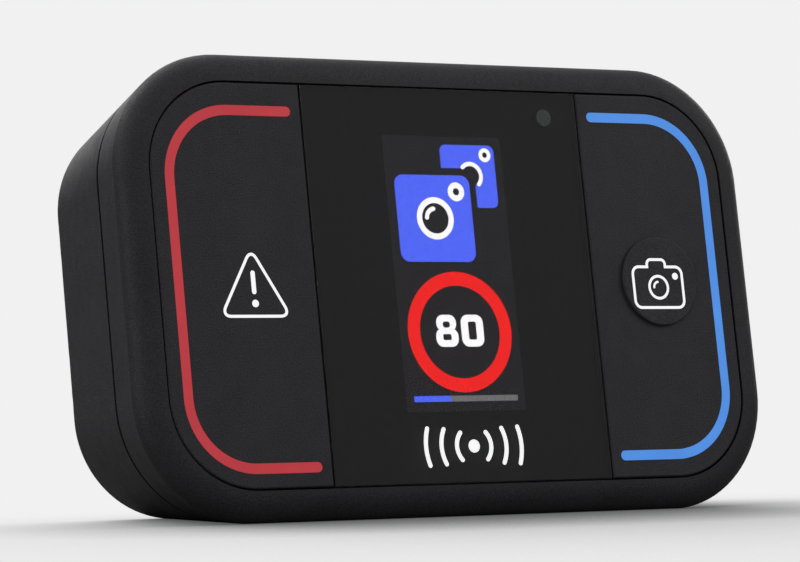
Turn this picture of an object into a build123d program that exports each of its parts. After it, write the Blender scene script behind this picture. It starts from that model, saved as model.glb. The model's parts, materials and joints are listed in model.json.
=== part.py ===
from build123d import *
import math
import os

# A dashboard driver-alert unit: a palm-sized case with a portrait display between two large
# push buttons, each with a C-shaped light line. It stands on its bottom wall, and because the
# side walls narrow towards the back, the face then leans back by the same angle.
#
# Every piece is drawn upright, with the face on the XZ plane: X to the right, Z up, and Y is
# the depth behind the face. stand() then leans the finished pieces back onto the base.

# ---- casing, millimetres and degrees ----
FACE_W = 63.8            # field of the window and the buttons
FACE_H = 38.0
FACE_R = 8.55
BAND = 2.8               # rounded frame band around the field
BAND_DEPTH = 1.75
DEPTH = 19.6
DRAFT = 9.0              # the side walls narrow towards the back
CORNER_SHRINK = 0.69     # the corners tighten less than the walls close in
FOOT_FLAT = 0.05         # the bottom wall is faced flat by this much, to stand on
PART_LINE = 6.2          # joint between front frame and rear housing
GROOVE = 0.45
GROOVE_DEPTH = 0.5
REAR_FILLET = 1.5
WALL = 1.6
LIP_GAP = 0.1
LIP_Y = 5.15
REBATE_Y = 5.0
REBATE = 1.05            # frame wall left outside the housing's locating lip
LIP_T = 0.65

# ---- face ----
SPLIT_X = 15.45          # seam between window and button
SEAM = 0.15
EDGE = 0.2               # broken edges of the face plates
PLATE_T = 1.4
WINDOW_T = 1.0
LINE_W = 0.94            # light line, and its centreline's half sizes and corner
LINE_X = 29.85
LINE_Z = 16.6
LINE_R = 6.5
LINE_END_X = 17.1
LINE_DROP = {-1: 0.38, 1: 0.07}    # the lines sit a little below the middle
FLANGE_W = 1.6
FLANGE_Y = 2.0
LEG_X = 22.0
LEG_R = 0.55
DISC_X = 23.15           # raised fingertip disc on the right button
DISC_Z = 0.3
DISC_R = 4.4
DISC_H = 0.35
POST_ON_KEY_R = 1.5      # post that presses the switch
HOOK = 0.4               # snap hooks behind the carrier
HOOK_L = 0.8
SENSOR_X = 11.6          # ambient light pipe in the window's corner
SENSOR_Z = 16.35
SENSOR_R = 0.83

# ---- inside ----
LEDGE_Y = 2.5            # ledge behind the buttons' edges
LEDGE_W = 1.0
CARRIER_Y = 3.6
CARRIER_BACK = 4.8
WELL_Y = 1.3             # front of the display well's rim
WELL_W = 18.4
WELL_H = 33.0
RIM_W = 27.4             # outside of the well's rim
RIM_H = 35.4
RIM_R = 1.5
PCB_W = 61.4
PCB_H = 36.4
PCB_R = 7.5
PCB_Y = 7.0
PCB_BACK = 8.0
LCD_Y = 1.1
LCD_BACK = 2.3
LCD_W = 16.4
LCD_H = 31.0
LCD_Z = 0.1
BACKLIGHT_BACK = 3.3
FLEX_T = 0.15
FLEX_W = 9.0
FLEX_Z = -16.45
SWITCH_X = 23.6
SWITCH_SIZE = 4.4
SWITCH_Y = 5.5
PLUNGER_Y = 5.0
PLUNGER_R = 1.1
PLUNGER_BACK = 6.0
SCREW_X = 25.5           # four housing screws
SCREW_Z = 12.6
SCREW_R = 0.95
HEAD_R = 1.9
HEAD_Y = 15.0
HEAD_T = 1.6
BOSS_R = 2.5
BOSS_BACK = 6.0
POST_R = 2.9
PCB_SCREW_X = 16.2
PCB_SCREW_Z = 14.6
PCB_SCREW_R = 0.75
PCB_HEAD_R = 1.4
PCB_HEAD_T = 0.9
PCB_BOSS_R = 1.9
RADIO_X = -8.0           # radio chip in the middle of its shield
RADIO_Z = 6.0
SHIELD_W = 14.0
SHIELD_H = 12.0
SHIELD_HIGH = 2.2
SHEET = 0.2
GUIDE_X = 20.0
GUIDE_Z = 10.0
GUIDE_R = 1.2
BATTERY_X = -3.0
BATTERY_W = 36.0
BATTERY_H = 24.0
BATTERY_Y = 12.9
BATTERY_BACK = 17.7
LEAD_R = 0.4
LEAD_BEND = 1.5
CELL_PLUG_X = -8.0       # battery connector on the board
CELL_PLUG_Z = -15.0
CELL_PLUG_TOP = 11.2
SPEAKER_X = 22.5
SPEAKER_R = 6.5
SPEAKER_Y = 14.2
SPEAKER_WALL = 0.5
MAGNET_R = 3.2
DOME_R = 3.0
SLOT_L = 7.0             # sound slots
SLOT_W = 1.1
SLOT_PITCH = 3.0
MESH_T = 0.2
GASKET_T = 0.3
MOUNT_R = 11.0           # steel disc for a magnetic holder
MOUNT_T = 0.75
USB_W = 8.94             # receptacle with its mouth in the right wall
USB_H = 3.26
USB_WALL = 0.3
USB_X = 33.2
USB_L = 6.9
USB_GAP = 0.2
USB_HOLE = 2.5           # depth of the wall's hole around the receptacle
TONGUE_W = 6.7
TONGUE_T = 0.7
TONGUE_BACK = 0.8        # the tongue ends this far behind the mouth

OUT_W = FACE_W + 2 * BAND
OUT_H = FACE_H + 2 * BAND
OUT_R = FACE_R + BAND
SLOPE = math.tan(math.radians(DRAFT))
FRAME_BACK = PART_LINE - GROOVE / 2
HOUSING_FRONT = PART_LINE + GROOVE / 2
BACK_INSIDE = DEPTH - WALL
LIP_INSET = REBATE + LIP_GAP
USB_Y = PCB_BACK + USB_H / 2
SIDES = {"left": -1, "right": 1}
CORNERS = [(sx, sz) for sx in (-1, 1) for sz in (-1, 1)]

# The base contact runs from the frame's crease to the rear fillet; its middle is the origin.
BASE_Y = (BAND_DEPTH + DEPTH - REAR_FILLET) / 2
BASE_Z = -OUT_H / 2 + (BASE_Y - BAND_DEPTH) * SLOPE + FOOT_FLAT / math.cos(math.radians(DRAFT))


# ---- helpers ----
def slab(sketch, front, back):
    """Extrude a sketch of the face plane from one depth to another."""
    return extrude(Plane.XZ.offset(-front) * sketch, amount=front - back)


def rod(x, z, radius, front, back):
    """Round pin along the depth."""
    return slab(Pos(x, z) * Circle(radius), front, back)


def block(x, z, width, height, front, back):
    """Rectangular block centred on x, z."""
    return slab(Pos(x, z) * Rectangle(width, height), front, back)


def outline(depth, inset=0.0):
    """Outer contour of the case at a depth, offset inwards."""
    close_in = max(depth - BAND_DEPTH, 0.0) * SLOPE
    shrink = inset + close_in
    radius = OUT_R - inset - CORNER_SHRINK * close_in
    return RectangleRounded(OUT_W - 2 * shrink, OUT_H - 2 * shrink, radius)


def drafted(front, back, inset=0.0):
    """Solid inside the narrowing side walls between two depths."""
    ends = [Plane.XZ.offset(-depth) * outline(depth, inset) for depth in (front, back)]
    return loft(ends, ruled=True)


def face_field(gap):
    """Contour of the field that the window and the buttons fill."""
    return RectangleRounded(FACE_W - 2 * gap, FACE_H - 2 * gap, FACE_R - gap)


def line_band(width, side):
    """C-shaped band along a light line, drawn on the right half, with round ends."""
    outer = RectangleRounded(2 * LINE_X + width, 2 * LINE_Z + width, LINE_R + width / 2)
    inner = RectangleRounded(2 * LINE_X - width, 2 * LINE_Z - width, LINE_R - width / 2)
    right_half = Pos(LINE_END_X + FACE_W / 2, 0) * Rectangle(FACE_W, FACE_H)
    ends = [Pos(LINE_END_X, sz * LINE_Z) * Circle(width / 2) for sz in (-1, 1)]
    return Pos(0, -LINE_DROP[side]) * (((outer - inner) & right_half) + ends)


def line_legs(side):
    """Places of a light line's three legs, on the right half."""
    return [(x, z - LINE_DROP[side]) for x, z in ((LINE_X, 0), (LEG_X, LINE_Z), (LEG_X, -LINE_Z))]


def to_side(part, side):
    """Piece of the right half, mirrored for the left."""
    return part if side > 0 else mirror(part, about=Plane.YZ)


def stand(part):
    """Lean the upright piece back onto its base, with the origin on the ground."""
    return Rot(X=-DRAFT) * Pos(0, -BASE_Y, -BASE_Z) * part


def face_foot(part):
    """Trim a shell to the flat that the unit stands on."""
    ground = Pos(0, BASE_Y, BASE_Z) * Rot(X=DRAFT) * Box(
        2 * OUT_W, 2 * OUT_W, OUT_H, align=(Align.CENTER, Align.CENTER, Align.MAX))
    return part - ground


# ---- casing ----
def band_section(half):
    """Cross-section of the front band: flat field, then a quarter ellipse down to the crease."""
    ends = [Pos(sx * half, BAND_DEPTH) * Ellipse(BAND, BAND_DEPTH) for sx in (-1, 1)]
    flat = Pos(0, BAND_DEPTH / 2) * Rectangle(2 * half, BAND_DEPTH)
    front = Pos(0, BAND_DEPTH / 2) * Rectangle(2 * OUT_W, BAND_DEPTH)
    return (flat + ends) & front


def front_dome():
    """Rounded front of the case: two crossed runs and four turned corners."""
    corner_x = FACE_W / 2 - FACE_R
    corner_z = FACE_H / 2 - FACE_R
    upright = extrude(Plane.XY * band_section(FACE_W / 2), amount=corner_z, both=True)
    lying = Plane(origin=(0, 0, 0), x_dir=(0, 0, 1), z_dir=(-1, 0, 0))
    level = extrude(lying * band_section(FACE_H / 2), amount=corner_x, both=True)
    half = Pos(OUT_W / 2, BAND_DEPTH / 2) * Rectangle(OUT_W, BAND_DEPTH)
    turned = revolve(Plane.XY * (band_section(FACE_R) & half), axis=Axis.Y)
    corners = [Pos(sx * corner_x, 0, sz * corner_z) * turned for sx, sz in CORNERS]
    return upright + level + corners


def front_frame():
    """Bezel ring with the ledge behind the buttons and four screw bosses."""
    body = front_dome() + drafted(BAND_DEPTH, FRAME_BACK)
    body -= slab(face_field(0), -1, LEDGE_Y)
    body -= slab(face_field(LEDGE_W), LEDGE_Y - 1, CARRIER_Y + 1)
    body -= drafted(CARRIER_Y, REBATE_Y, WALL)
    body -= drafted(REBATE_Y, FRAME_BACK, REBATE)
    reach = 7.0
    for sx, sz in CORNERS:
        turn = math.degrees(math.atan2(sz, sx))
        arm_at = Pos(sx * SCREW_X, sz * SCREW_Z) * Rot(Z=turn) * Pos(reach / 2, 0)
        arm = slab(arm_at * Rectangle(reach, 2 * BOSS_R - 1), LEDGE_Y, CARRIER_Y)
        body += arm & slab(face_field(LEDGE_W / 2), LEDGE_Y, CARRIER_Y)
        body += rod(sx * SCREW_X, sz * SCREW_Z, BOSS_R, LEDGE_Y, BOSS_BACK)
        body -= rod(sx * SCREW_X, sz * SCREW_Z, SCREW_R + 0.01, LEDGE_Y + 0.4, BOSS_BACK)
    return body


def rear_housing():
    """Drafted cup with a locating lip, screw posts, sound slots, disc seat and socket hole."""
    shell = drafted(HOUSING_FRONT, DEPTH)
    rear_edges = shell.faces().sort_by(Axis.Y)[-1].edges()
    shell = fillet(rear_edges, REAR_FILLET)
    shell -= drafted(HOUSING_FRONT, BACK_INSIDE, LIP_INSET + LIP_T)
    lip = drafted(LIP_Y, HOUSING_FRONT, LIP_INSET) - drafted(LIP_Y, HOUSING_FRONT, LIP_INSET + LIP_T)
    shell += lip
    for sx, sz in CORNERS:
        x, z = sx * SCREW_X, sz * SCREW_Z
        shell += rod(x, z, POST_R, BOSS_BACK, BACK_INSIDE)
        shell -= rod(x, z, SCREW_R + 0.2, BOSS_BACK, HEAD_Y)
        shell -= rod(x, z, HEAD_R + 0.15, HEAD_Y, DEPTH)
    shell -= rod(0, 0, MOUNT_R + 0.05, DEPTH - MOUNT_T, DEPTH)
    for row in (-1, 0, 1):
        shell -= slab(Pos(SPEAKER_X, row * SLOT_PITCH) * SlotOverall(SLOT_L, SLOT_W), BACK_INSIDE, DEPTH)
    return shell - usb_prism(USB_GAP, USB_X - USB_HOLE, OUT_W / 2)


def housing_seal():
    """Thin gasket at the bottom of the groove between frame and housing."""
    outer = drafted(FRAME_BACK, HOUSING_FRONT, GROOVE_DEPTH)
    return outer - drafted(FRAME_BACK, HOUSING_FRONT, REBATE)


def housing_screws():
    """Four self-tapping screws with cross-recessed pan heads."""
    shank = rod(0, 0, SCREW_R, LEDGE_Y + 0.5, HEAD_Y)
    head = rod(0, 0, HEAD_R, HEAD_Y, HEAD_Y + HEAD_T)
    head = fillet(head.edges().group_by(Axis.Y)[-1], 0.4)
    recess = [block(0, 0, *size, HEAD_Y + 0.7, HEAD_Y + HEAD_T) for size in ((0.5, 2.2), (2.2, 0.5))]
    screw = shank + head - recess
    return Compound([Pos(sx * SCREW_X, 0, sz * SCREW_Z) * screw for sx, sz in CORNERS])


def mount_disc():
    """Steel disc let into the back for a magnetic holder."""
    disc = rod(0, 0, MOUNT_R, DEPTH - MOUNT_T, DEPTH)
    return chamfer(disc.edges().group_by(Axis.Y)[-1], 0.15)


# ---- face ----
def display_window():
    """Smoked window plate between the buttons."""
    strip = Rectangle(2 * SPLIT_X - SEAM, FACE_H)
    plate = slab(face_field(SEAM) & strip, 0, WINDOW_T)
    plate = fillet(plate.edges().group_by(Axis.Y)[0], EDGE / 2)
    return plate - rod(SENSOR_X, SENSOR_Z, SENSOR_R + 0.03, -1, WINDOW_T)


def window_adhesive():
    """Frame of adhesive tape between window and display well."""
    ring = Rectangle(RIM_W - 0.2, RIM_H - 0.2) - Rectangle(WELL_W + 0.6, WELL_H + 0.2)
    ring -= Pos(SENSOR_X, SENSOR_Z) * Circle(SENSOR_R + 0.1)
    return slab(ring, WINDOW_T, WELL_Y)


def button(side):
    """Button plate with the light line's slot, two snap guides and a switch post."""
    half = Pos(SPLIT_X + SEAM / 2 + FACE_W / 2, 0) * Rectangle(FACE_W, FACE_H)
    plate = slab(face_field(SEAM) & half, 0, PLATE_T)
    plate = fillet(plate.edges().group_by(Axis.Y)[0], EDGE)
    if side > 0:
        disc = rod(DISC_X, DISC_Z, DISC_R, -DISC_H, PLATE_T)
        plate += fillet(disc.edges().group_by(Axis.Y)[0], DISC_H / 2)
    plate -= slab(line_band(LINE_W + 0.04, side), -1, PLATE_T)
    plate += rod(SWITCH_X, 0, POST_ON_KEY_R, PLATE_T, PLUNGER_Y)
    for sz in (-1, 1):
        plate += rod(GUIDE_X, sz * GUIDE_Z, GUIDE_R, PLATE_T, CARRIER_BACK + HOOK_L)
        plate += rod(GUIDE_X, sz * GUIDE_Z, GUIDE_R + HOOK, CARRIER_BACK + 0.05, CARRIER_BACK + HOOK_L)
    return to_side(plate, side)


def light_strip(side):
    """Light guide: the visible line, a flange behind the plate and three legs to the lamps."""
    strip = slab(line_band(LINE_W, side), 0, FLANGE_Y)
    strip += slab(line_band(FLANGE_W, side), PLATE_T, FLANGE_Y)
    for x, z in line_legs(side):
        strip += rod(x, z, LEG_R, FLANGE_Y, SWITCH_Y + 0.4)
    return to_side(strip, side)


def light_pipe():
    """Stepped pin that leads daylight to the light sensor."""
    return rod(SENSOR_X, SENSOR_Z, SENSOR_R, 0, PCB_Y - 0.9)


# ---- inner frame and display ----
def inner_carrier():
    """Carrier plate with the display well, board bosses and holes for everything that passes."""
    plate = slab(outline(CARRIER_BACK, WALL + 0.3), CARRIER_Y, CARRIER_BACK)
    rim = RectangleRounded(RIM_W, RIM_H, RIM_R) - Rectangle(WELL_W, WELL_H)
    plate += slab(rim, WELL_Y, CARRIER_Y)
    for sx, sz in CORNERS:
        plate += rod(sx * PCB_SCREW_X, sz * PCB_SCREW_Z, PCB_BOSS_R, CARRIER_BACK, PCB_Y)
        plate -= rod(sx * PCB_SCREW_X, sz * PCB_SCREW_Z, PCB_SCREW_R + 0.01, CARRIER_BACK, PCB_Y)
        plate -= rod(sx * SCREW_X, sz * SCREW_Z, BOSS_R + 0.3, CARRIER_Y, CARRIER_BACK)
        plate -= rod(sx * GUIDE_X, sz * GUIDE_Z, GUIDE_R + 0.1, CARRIER_Y, CARRIER_BACK)
    for side in SIDES.values():
        plate -= rod(side * SWITCH_X, 0, POST_ON_KEY_R + 0.4, CARRIER_Y, CARRIER_BACK)
        for x, z in line_legs(side):
            plate -= rod(side * x, z, LEG_R + 0.35, CARRIER_Y, CARRIER_BACK)
    plate -= rod(SENSOR_X, SENSOR_Z, SENSOR_R + 0.1, WELL_Y, CARRIER_BACK)
    slot_h = 0.7
    return plate - block(0, -WELL_H / 2 + slot_h / 2, FLEX_W + 1, slot_h, CARRIER_Y, CARRIER_BACK)


def lcd_panel():
    """Display glass."""
    return block(0, LCD_Z, LCD_W, LCD_H, LCD_Y, LCD_BACK)


def backlight():
    """Light box behind the glass."""
    plate = block(0, LCD_Z, LCD_W + 0.4, LCD_H + 0.4, LCD_BACK, BACKLIGHT_BACK)
    return fillet(plate.edges().filter_by(Axis.Y), 0.4)


def display_pad():
    """Foam that presses the display against the window."""
    return block(0, 0.5, LCD_W - 2, LCD_H - 3, BACKLIGHT_BACK, CARRIER_Y)


def display_flex():
    """Ribbon from the glass through the carrier to the board."""
    bottom = LCD_Z - LCD_H / 2
    upper = Pos(0, (FLEX_Z + bottom) / 2) * Rectangle(FLEX_W, bottom - FLEX_Z)
    ribbon = slab(upper, LCD_BACK - 0.3, LCD_BACK - 0.3 + FLEX_T)
    ribbon += block(0, FLEX_Z + FLEX_T / 2, FLEX_W, FLEX_T, LCD_BACK - 0.3, PCB_Y - 0.85)
    return ribbon + block(0, FLEX_Z + 1.5, FLEX_W, 3.0, PCB_Y - 0.85 - FLEX_T, PCB_Y - 0.85)


def flex_connector():
    """Low connector on the board for the display ribbon."""
    return block(0, FLEX_Z + 1.9, FLEX_W + 1.4, 3.0, PCB_Y - 0.85, PCB_Y)


# ---- board and what is on it ----
def main_board():
    """Circuit board with clearance holes for the housing posts and the board screws."""
    board = slab(RectangleRounded(PCB_W, PCB_H, PCB_R), PCB_Y, PCB_BACK)
    for sx, sz in CORNERS:
        board -= rod(sx * SCREW_X, sz * SCREW_Z, POST_R + 0.2, PCB_Y, PCB_BACK)
        board -= rod(sx * PCB_SCREW_X, sz * PCB_SCREW_Z, PCB_SCREW_R + 0.2, PCB_Y, PCB_BACK)
    return board


def board_screws():
    """Four small screws that hold the board to the carrier."""
    shank = rod(0, 0, PCB_SCREW_R, CARRIER_BACK + 0.5, PCB_BACK)
    head = rod(0, 0, PCB_HEAD_R, PCB_BACK, PCB_BACK + PCB_HEAD_T)
    slot = block(0, 0, 0.4, 1.8, PCB_BACK + 0.5, PCB_BACK + PCB_HEAD_T)
    screw = shank + head - slot
    return Compound([Pos(sx * PCB_SCREW_X, 0, sz * PCB_SCREW_Z) * screw for sx, sz in CORNERS])


def switch_body(side):
    """Housing of the tact switch under a button."""
    body = block(SWITCH_X, 0, SWITCH_SIZE, SWITCH_SIZE, SWITCH_Y, PCB_Y)
    body = fillet(body.edges().filter_by(Axis.Y), 0.4)
    return to_side(body - rod(SWITCH_X, 0, PLUNGER_R + 0.06, SWITCH_Y, PCB_Y - 0.3), side)


def switch_plunger(side):
    """Moving key top of the tact switch."""
    key = rod(SWITCH_X, 0, PLUNGER_R, PLUNGER_Y, PLUNGER_BACK)
    return to_side(chamfer(key.edges().group_by(Axis.Y)[-1], 0.15), side)


def line_lamps(side):
    """Three lamps under the legs of a light line."""
    places = line_legs(side)
    return Compound([to_side(block(x, z, 1.25, 2.0, PCB_Y - 0.6, PCB_Y), side) for x, z in places])


def light_sensor():
    """Ambient light sensor chip under the light pipe."""
    return block(SENSOR_X, SENSOR_Z, 2.0, 2.0, PCB_Y - 0.7, PCB_Y)


def radio_shield():
    """Sheet-metal can over the radio."""
    can = block(RADIO_X, RADIO_Z, SHIELD_W, SHIELD_H, PCB_BACK, PCB_BACK + SHIELD_HIGH)
    can = fillet(can.edges().filter_by(Axis.Y), 0.5)
    roof = PCB_BACK + SHIELD_HIGH - SHEET
    return can - block(RADIO_X, RADIO_Z, SHIELD_W - 2 * SHEET, SHIELD_H - 2 * SHEET, PCB_BACK, roof)


def chip(x, z, width, height, thick):
    """Plain packaged component on the back of the board."""
    body = block(x, z, width, height, PCB_BACK, PCB_BACK + thick)
    return chamfer(body.edges().group_by(Axis.Y)[-1], 0.08)


def cell_connector():
    """Two-pole battery connector."""
    body = block(CELL_PLUG_X, CELL_PLUG_Z, 6, 4, PCB_BACK, CELL_PLUG_TOP)
    return body - block(CELL_PLUG_X, CELL_PLUG_Z - 1.2, 3.4, 1.2, PCB_BACK + 2.2, CELL_PLUG_TOP)


# ---- power and sound ----
def battery_pouch():
    """Flat lithium pouch cell."""
    cell = block(BATTERY_X, 0, BATTERY_W, BATTERY_H, BATTERY_Y, BATTERY_BACK)
    cell = fillet(cell.edges().filter_by(Axis.Y), 1.0)
    return fillet(cell.edges().group_by(Axis.Y)[0], 0.8)


def battery_tape():
    """Adhesive tape between the cell and the back wall."""
    return block(BATTERY_X, 0, BATTERY_W - 8, BATTERY_H - 6, BATTERY_BACK, BACK_INSIDE)


def wire_pair(x, spacing, points):
    """Two round wires side by side along straight runs joined by arcs."""
    wires = []
    for step in (-0.5, 0.5):
        at = x + step * spacing
        route = FilletPolyline(*[(at, y, z) for y, z in points], radius=LEAD_BEND)
        start = Plane(origin=route @ 0, z_dir=route % 0)
        wires.append(sweep(start * Circle(LEAD_R), path=route))
    return Compound(wires)


def battery_lead():
    """Wires from the cell's edge forward into the connector."""
    turn = CELL_PLUG_Z + 0.5
    points = [(15.4, -BATTERY_H / 2), (15.4, turn), (CELL_PLUG_TOP, turn)]
    return wire_pair(CELL_PLUG_X, 1.3, points)


def speaker_lead():
    """Wires from the speaker's rim forward to the board."""
    turn = -SPEAKER_R - 2.2
    points = [(SPEAKER_Y + 1.2, -SPEAKER_R + 0.1), (SPEAKER_Y + 1.2, turn), (PCB_BACK, turn)]
    return wire_pair(SPEAKER_X - 2.5, 1.2, points)


def speaker_basket():
    """Shallow metal cup of the sounder."""
    cup = rod(SPEAKER_X, 0, SPEAKER_R, SPEAKER_Y, BACK_INSIDE - MESH_T - GASKET_T)
    return cup - rod(SPEAKER_X, 0, SPEAKER_R - SPEAKER_WALL, SPEAKER_Y + 0.7, BACK_INSIDE)


def speaker_magnet():
    """Magnet on the floor of the cup."""
    return rod(SPEAKER_X, 0, MAGNET_R, SPEAKER_Y + 0.7, SPEAKER_Y + 1.9)


def speaker_cone():
    """Thin diaphragm with a raised middle."""
    rim_y = SPEAKER_Y + 2.4
    cone = rod(SPEAKER_X, 0, SPEAKER_R - SPEAKER_WALL, rim_y, rim_y + 0.2)
    cone += rod(SPEAKER_X, 0, DOME_R, rim_y, rim_y + 0.5)
    return cone - rod(SPEAKER_X, 0, DOME_R - 0.2, rim_y, rim_y + 0.3)


def speaker_gasket():
    """Foam ring that seals the sounder to the back wall."""
    back = BACK_INSIDE - MESH_T
    ring = rod(SPEAKER_X, 0, SPEAKER_R, back - GASKET_T, back)
    return ring - rod(SPEAKER_X, 0, SPEAKER_R - 1.2, back - GASKET_T, back)


def speaker_mesh():
    """Dust mesh behind the sound slots."""
    return rod(SPEAKER_X, 0, SPEAKER_R, BACK_INSIDE - MESH_T, BACK_INSIDE)


# ---- socket ----
def usb_prism(grow, start, end):
    """Rounded prism of the socket along X."""
    section = SlotOverall(USB_W + 2 * grow, USB_H + 2 * grow)
    side = Plane(origin=(start, USB_Y, 0), x_dir=(0, 0, 1), z_dir=(1, 0, 0))
    return extrude(side * section, amount=end - start)


def usb_shell():
    """Steel shell of the charging socket, closed at the back."""
    shell = usb_prism(0, USB_X - USB_L, USB_X)
    return shell - usb_prism(-USB_WALL, USB_X - USB_L + USB_WALL, USB_X)


def usb_tongue():
    """Contact tongue in the middle of the socket."""
    start = USB_X - USB_L + USB_WALL
    end = USB_X - TONGUE_BACK
    return Pos((start + end) / 2, USB_Y, 0) * Box(end - start, TONGUE_T, TONGUE_W)


# ---- all nodes ----
nodes = {
    "front_frame": front_frame(),
    "rear_housing": rear_housing(),
    "housing_seal": housing_seal(),
    "housing_screws": housing_screws(),
    "steel_mount_disc": mount_disc(),
    "display_window": display_window(),
    "window_adhesive": window_adhesive(),
    "sensor_light_pipe": light_pipe(),
    "inner_carrier": inner_carrier(),
    "lcd_panel": lcd_panel(),
    "backlight_unit": backlight(),
    "display_foam_pad": display_pad(),
    "display_flex": display_flex(),
    "flex_connector": flex_connector(),
    "main_board": main_board(),
    "board_screws": board_screws(),
    "light_sensor": light_sensor(),
    "radio_shield": radio_shield(),
    "radio_chip": chip(RADIO_X, RADIO_Z, 7, 7, 0.9),
    "main_processor": chip(7, -5, 8, 8, 0.9),
    "charger_chip": chip(15, 6, 4, 4, 0.8),
    "chip_antenna": chip(-9, 16.3, 6.5, 2, 1.2),
    "battery_pouch": battery_pouch(),
    "battery_tape": battery_tape(),
    "battery_connector": cell_connector(),
    "battery_lead": battery_lead(),
    "speaker_basket": speaker_basket(),
    "speaker_magnet": speaker_magnet(),
    "speaker_cone": speaker_cone(),
    "speaker_gasket": speaker_gasket(),
    "speaker_mesh": speaker_mesh(),
    "speaker_lead": speaker_lead(),
    "usb_socket_shell": usb_shell(),
    "usb_socket_tongue": usb_tongue(),
}
for name, side in SIDES.items():
    nodes[f"{name}_button"] = button(side)
    nodes[f"{name}_light_strip"] = light_strip(side)
    nodes[f"{name}_switch_body"] = switch_body(side)
    nodes[f"{name}_switch_plunger"] = switch_plunger(side)
    nodes[f"{name}_lamps"] = line_lamps(side)

for name in ("front_frame", "rear_housing"):
    nodes[name] = face_foot(nodes[name])

os.makedirs("parts", exist_ok=True)
for name, part in nodes.items():
    export_step(stand(part), f"parts/{name}.step")
print(len(nodes), "nodes written")
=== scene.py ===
# %% [markdown]
# # A dashboard driver-alert unit
# A palm-sized black case holds a portrait colour display between two large push buttons. The
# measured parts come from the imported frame, as solids in their real places. This lesson adds
# what makes them look real: finishes, printed pictograms, the picture on the display, and the
# contacts in the charging socket.

# %% Load the frame
import bpy
import json
import math
from mathutils import Matrix, Vector


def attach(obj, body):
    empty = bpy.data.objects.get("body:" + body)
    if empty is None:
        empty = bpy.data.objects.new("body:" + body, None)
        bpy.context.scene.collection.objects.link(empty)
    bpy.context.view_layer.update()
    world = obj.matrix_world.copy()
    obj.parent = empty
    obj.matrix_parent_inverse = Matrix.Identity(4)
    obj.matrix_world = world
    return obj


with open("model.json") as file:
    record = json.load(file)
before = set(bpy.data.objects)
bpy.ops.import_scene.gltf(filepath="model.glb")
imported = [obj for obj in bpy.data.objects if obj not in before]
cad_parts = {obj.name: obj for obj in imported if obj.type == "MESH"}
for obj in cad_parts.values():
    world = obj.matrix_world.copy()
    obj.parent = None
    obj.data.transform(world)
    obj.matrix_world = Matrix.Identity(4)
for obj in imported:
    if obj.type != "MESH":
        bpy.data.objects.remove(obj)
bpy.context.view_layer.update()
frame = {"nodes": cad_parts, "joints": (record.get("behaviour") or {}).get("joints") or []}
MM = 0.001
print("parts in the frame:", len(frame["nodes"]))

# %% [markdown]
# The unit stands on its bottom wall, and its face leans back by a few degrees. Everything on
# the face is easier to draw on a flat board, so we first find the lean and the middle of the
# face. The buttons travel straight into the face, so their joint axis gives the lean exactly.

# %% Find the face
press = Vector(frame["joints"][0]["axis"])
LEAN = math.atan2(-press.z, press.y)
upright = Matrix.Rotation(LEAN, 4, "X")


def upright_box(node):
    """Lowest and highest corner of a CAD node with the face stood upright."""
    places = [upright @ vertex.co for vertex in frame["nodes"][node].data.vertices]
    low = Vector([min(place[axis] for place in places) for axis in range(3)])
    high = Vector([max(place[axis] for place in places) for axis in range(3)])
    return low, high


window_low, window_high = upright_box("display_window")
face_middle = (window_low + window_high) / 2
face_middle.y = window_low.y
WINDOW_DEPTH = window_high.y - window_low.y
print(f"lean {math.degrees(LEAN):.2f} degrees, window {WINDOW_DEPTH / MM:.2f} mm thick")

# %% [markdown]
# Prints and screen pictures are drawn on a flat board first: X to the right, Y up the face,
# Z out of the face, one unit to the millimetre and one unit thick. Blender's operators work
# best at that scale. One matrix then lays the finished drawing on the leaning face, at any
# depth behind it, and gives it its real thickness.

# %% Lay a drawing on the face
board_to_face = (
    Matrix.Rotation(-LEAN, 4, "X")
    @ Matrix.Translation(face_middle)
    @ Matrix.Rotation(math.radians(90), 4, "X")
)


def clear_selection():
    """Nothing selected, so that an operator acts only on what is picked next."""
    bpy.ops.object.select_all(action="DESELECT")


def pick(piece):
    """Only this piece is selected and active."""
    clear_selection()
    piece.select_set(True)
    bpy.context.view_layer.objects.active = piece


def lay_on_face(piece, depth, thickness):
    """Lay a board drawing on the face, its underside at this depth behind the face."""
    pick(piece)
    bpy.ops.object.transform_apply(location=True, rotation=True, scale=True)
    to_size = Matrix.Diagonal((MM, MM, thickness, 1))
    piece.data.transform(board_to_face @ Matrix.Translation((0, 0, -depth)) @ to_size)
    piece.data.update()
    return piece


# %% [markdown]
# ## Camera and studio
# A long lens from close to the ground keeps the case's edges nearly parallel, the way small
# products are shot. The camera is placed by its direction, its distance and its aim.

# %% Camera
CAMERA_AZIMUTH = math.radians(31.6)
CAMERA_PITCH = math.radians(1.32)
CAMERA_ROLL = math.radians(-0.68)
CAMERA_DISTANCE = 356 * MM
AIM_LEFT = 5.5 * MM
AIM_UP = 0.3 * MM

camera_data = bpy.data.cameras.new("camera")
camera_data.lens = 170
camera_data.sensor_width = 36
camera_data.clip_start = 10 * MM
camera = bpy.data.objects.new("camera", camera_data)
bpy.context.scene.collection.objects.link(camera)
bpy.context.scene.camera = camera
turn = (
    Matrix.Rotation(-CAMERA_AZIMUTH, 4, "Z")
    @ Matrix.Rotation(math.radians(90) + CAMERA_PITCH, 4, "X")
    @ Matrix.Rotation(CAMERA_ROLL, 4, "Z")
)
face_point = Matrix.Rotation(-LEAN, 4, "X") @ face_middle
aim = face_point + turn.to_3x3() @ Vector((-AIM_LEFT, AIM_UP, 0))
stand_back = turn.to_3x3() @ Vector((0, 0, CAMERA_DISTANCE))
camera.matrix_world = Matrix.Translation(aim + stand_back) @ turn
print("camera at", [round(v / MM, 1) for v in camera.matrix_world.translation], "mm")

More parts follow.
